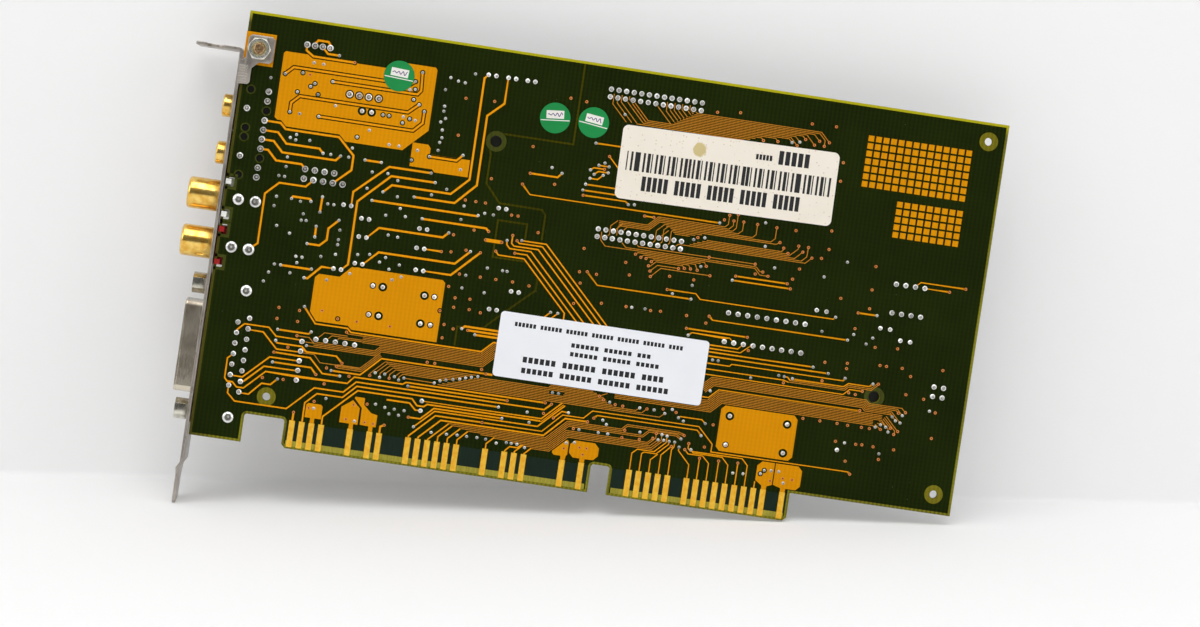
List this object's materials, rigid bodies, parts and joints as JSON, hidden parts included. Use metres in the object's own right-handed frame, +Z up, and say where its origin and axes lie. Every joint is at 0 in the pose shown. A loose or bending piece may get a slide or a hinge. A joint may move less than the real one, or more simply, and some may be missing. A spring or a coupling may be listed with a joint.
{
  "type": "sound card",
  "caption": "Expansion-slot sound card: green board with a gold contact tongue, steel bracket, headphone jacks, phono sockets and a game port.",
  "frame": {"origin": "middle of the contact tongue's lower edge, in the middle of the laminate", "axes": "+X along the card away from the bracket, +Y from the solder side to the component side, +Z up out of the slot"},
  "size_m": [0.2129, 0.0215, 0.1299],
  "materials": {
    "green_laminate": "satin green mask over glass laminate",
    "masked_copper": "copper seen through clear green mask",
    "masked_fine_copper": "fine copper seen through the mask",
    "plated_copper": "plated rim under mask",
    "solder": "bright solder",
    "contact_gold": "hard gold plate",
    "bracket_steel": "plated sheet steel",
    "yellow_zinc": "yellow zinc plate",
    "zinc": "clear zinc plate",
    "black_moulding": "black moulded nylon",
    "connector_gold": "bright gold plate",
    "tinned_metal": "tinned",
    "white_moulding": "white moulding",
    "red_moulding": "red moulding",
    "nickel_shell": "dull nickel plate",
    "natural_moulding": "natural nylon",
    "blue_moulding": "blue moulding",
    "chip_moulding": "matt black epoxy",
    "can_steel": "bright steel can",
    "capacitor_sleeve": "shrunk plastic sleeve",
    "can_aluminium": "drawn aluminium",
    "tan_ceramic": "fired ceramic",
    "resistor_glaze": "glazed resistor",
    "cream_paper": "coated label paper",
    "white_paper": "coated label paper",
    "green_paper": "coloured label paper",
    "label_ink": "printed ink"
  },
  "bodies": {
    "root": {"circuit_board": "green_laminate", "copper_areas": "masked_copper", "copper_tracks": "masked_copper", "fine_tracks": "masked_fine_copper", "plated_holes": "plated_copper", "tinned_holes": "solder", "solder_joints": "solder", "solder_contacts": "contact_gold", "component_contacts": "contact_gold", "bracket": "bracket_steel", "bracket_screw": "yellow_zinc", "bracket_nut": "zinc", "headphone_jacks": "black_moulding", "jack_ferrules": "connector_gold", "jack_springs": "tinned_metal", "white_phono_housing": "white_moulding", "red_phono_housing": "red_moulding", "phono_shells": "connector_gold", "phono_cups": "connector_gold", "phono_pins": "tinned_metal", "game_port_shell": "nickel_shell", "game_port_insulator": "black_moulding", "game_port_contacts": "connector_gold", "game_port_locks": "tinned_metal", "jackscrews": "zinc", "audio_connectors": "natural_moulding", "audio_connector_pins": "tinned_metal", "memory_sockets": "black_moulding", "memory_socket_pins": "contact_gold", "jumper_headers": "black_moulding", "jumper_pins": "contact_gold", "jumper_caps": "blue_moulding", "sound_processor": "chip_moulding", "sound_processor_leads": "tinned_metal", "bus_controller": "chip_moulding", "bus_controller_leads": "tinned_metal", "converter_chip": "chip_moulding", "converter_leads": "tinned_metal", "memory_chips": "chip_moulding", "memory_leads": "tinned_metal", "dip_chips": "chip_moulding", "dip_leads": "tinned_metal", "amplifier_chips": "chip_moulding", "amplifier_leads": "tinned_metal", "voltage_regulators": "chip_moulding", "oscillator_cans": "can_steel", "capacitor_sleeves": "capacitor_sleeve", "capacitor_cans": "can_aluminium", "capacitor_leads": "tinned_metal", "resistor_networks": "chip_moulding", "chip_capacitors": "tan_ceramic", "chip_resistors": "resistor_glaze", "barcode_label": "cream_paper", "plain_label": "white_paper", "round_stickers": "green_paper", "label_print": "label_ink"}
  },
  "joints": []
}
